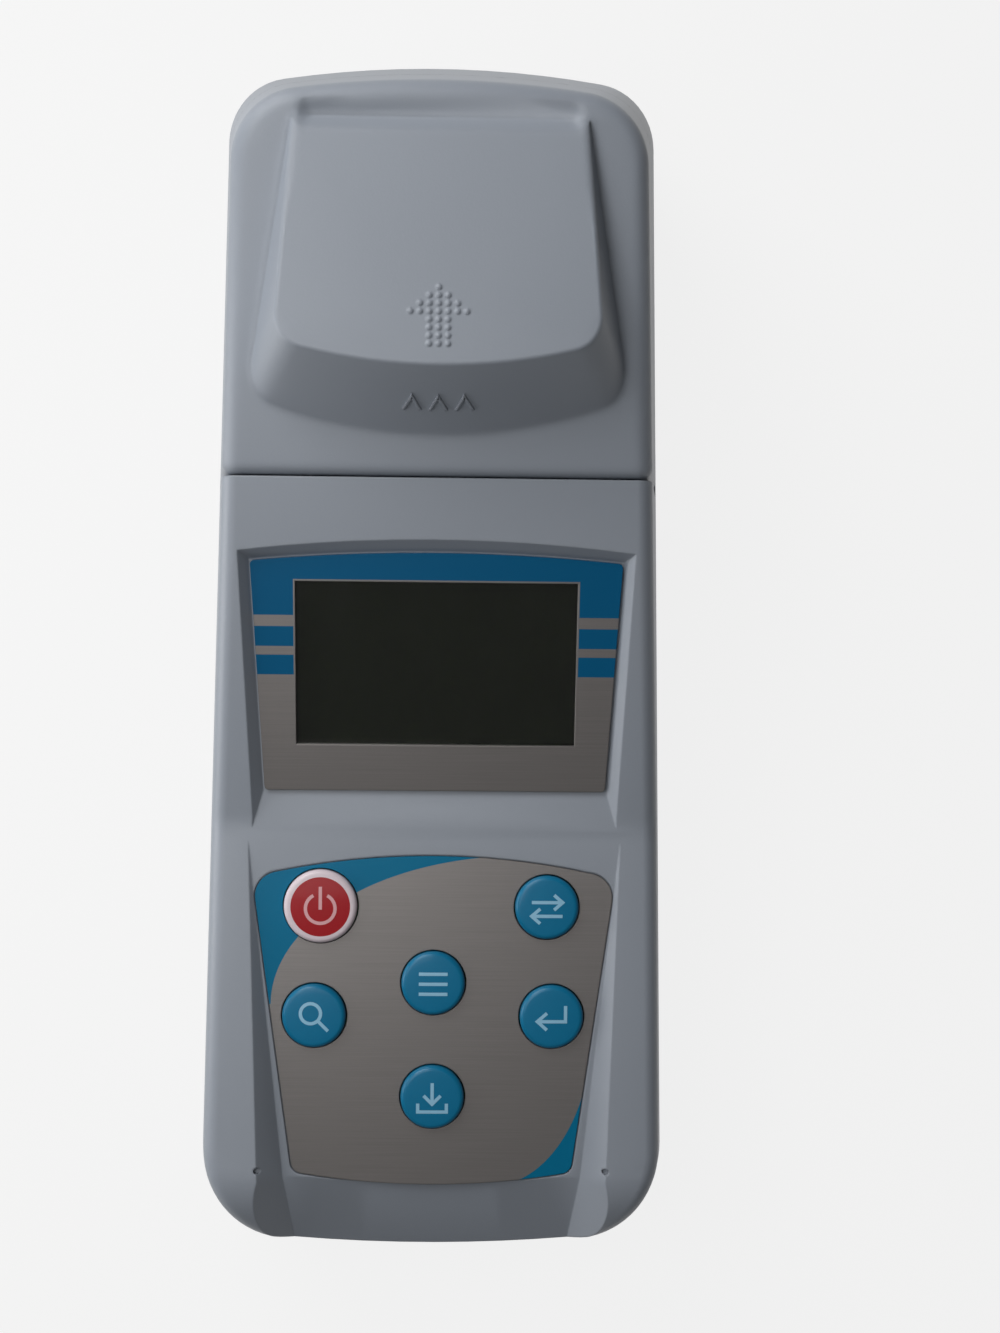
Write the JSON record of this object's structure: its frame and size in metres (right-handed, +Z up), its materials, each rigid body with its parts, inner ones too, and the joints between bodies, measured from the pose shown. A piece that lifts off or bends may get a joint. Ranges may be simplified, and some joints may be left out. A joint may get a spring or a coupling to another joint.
{
  "type": "portable turbidity meter",
  "caption": "Hand-held turbidity meter with a sloped display, round keys and a sliding cover over its sample well.",
  "frame": {"origin": "on the table under the middle of the body's bounding box", "axes": "+Y from the keypad end to the sample-well head, +Z up, +X to the user's right"},
  "size_m": [0.0888, 0.23, 0.078],
  "materials": {
    "case_plastic": "fine satin grain",
    "printed_aluminium": "brushed, printed blue",
    "red_key": "gloss",
    "blue_key": "gloss",
    "clear_window": "clear acrylic",
    "dark_glass": "unlit liquid crystal",
    "plated_steel": "nickel plated",
    "circuit_board": "solder mask",
    "foot_rubber": "matt",
    "cell_jacket": "shrink sleeve",
    "lens_glass": "polished",
    "black_plastic": "matt"
  },
  "bodies": {
    "housing": {"base_shell": "case_plastic", "battery_cell_1": "cell_jacket", "battery_cell_2": "cell_jacket", "battery_cell_3": "cell_jacket", "battery_cell_4": "cell_jacket", "battery_cell_5": "cell_jacket", "battery_door": "case_plastic", "case_screws": "plated_steel", "display_panel": "printed_aluminium", "door_screws": "plated_steel", "enter_contact": "black_plastic", "foot_head_left": "foot_rubber", "foot_head_right": "foot_rubber", "foot_tail_left": "foot_rubber", "foot_tail_right": "foot_rubber", "head_contacts": "plated_steel", "keypad_board": "circuit_board", "keypad_board_screws": "plated_steel", "keypad_label": "printed_aluminium", "main_board": "circuit_board", "main_board_chips": "black_plastic", "menu_contact": "black_plastic", "power_contact": "black_plastic", "query_contact": "black_plastic", "sample_holder": "black_plastic", "scatter_board": "circuit_board", "scatter_detector": "black_plastic", "screen_bezel": "plated_steel", "screen_board": "circuit_board", "screen_board_screws": "plated_steel", "screen_glass": "dark_glass", "screen_window": "clear_window", "source_board": "circuit_board", "source_lamp": "black_plastic", "source_lens": "lens_glass", "store_contact": "black_plastic", "switch_contact": "black_plastic", "tail_contacts": "plated_steel", "transmission_board": "circuit_board", "transmission_detector": "black_plastic", "upper_case": "case_plastic"},
    "cover": {"slide_cover": "case_plastic"},
    "enter_key": {"enter_key": "blue_key"},
    "menu_key": {"menu_key": "blue_key"},
    "power_key": {"power_key": "red_key"},
    "query_key": {"query_key": "blue_key"},
    "store_key": {"store_key": "blue_key"},
    "switch_key": {"switch_key": "blue_key"}
  },
  "joints": [
    {"name": "cover_slide", "type": "slide", "parent": "housing", "child": "cover", "axis": [0, 0.9675, 0.253], "range_m": [0, 0.05]},
    {"name": "enter_press", "type": "slide", "parent": "housing", "child": "enter_key", "axis": [0, 0.0702, -0.9975], "range_m": [0, 0.0005], "stiffness_N_per_m": 1000},
    {"name": "menu_press", "type": "slide", "parent": "housing", "child": "menu_key", "axis": [0, 0.0702, -0.9975], "range_m": [0, 0.0005], "stiffness_N_per_m": 1000},
    {"name": "power_press", "type": "slide", "parent": "housing", "child": "power_key", "axis": [0, 0.0702, -0.9975], "range_m": [0, 0.0005], "stiffness_N_per_m": 1000},
    {"name": "query_press", "type": "slide", "parent": "housing", "child": "query_key", "axis": [0, 0.0702, -0.9975], "range_m": [0, 0.0005], "stiffness_N_per_m": 1000},
    {"name": "store_press", "type": "slide", "parent": "housing", "child": "store_key", "axis": [0, 0.0702, -0.9975], "range_m": [0, 0.0005], "stiffness_N_per_m": 1000},
    {"name": "switch_press", "type": "slide", "parent": "housing", "child": "switch_key", "axis": [0, 0.0702, -0.9975], "range_m": [0, 0.0005], "stiffness_N_per_m": 1000}
  ]
}
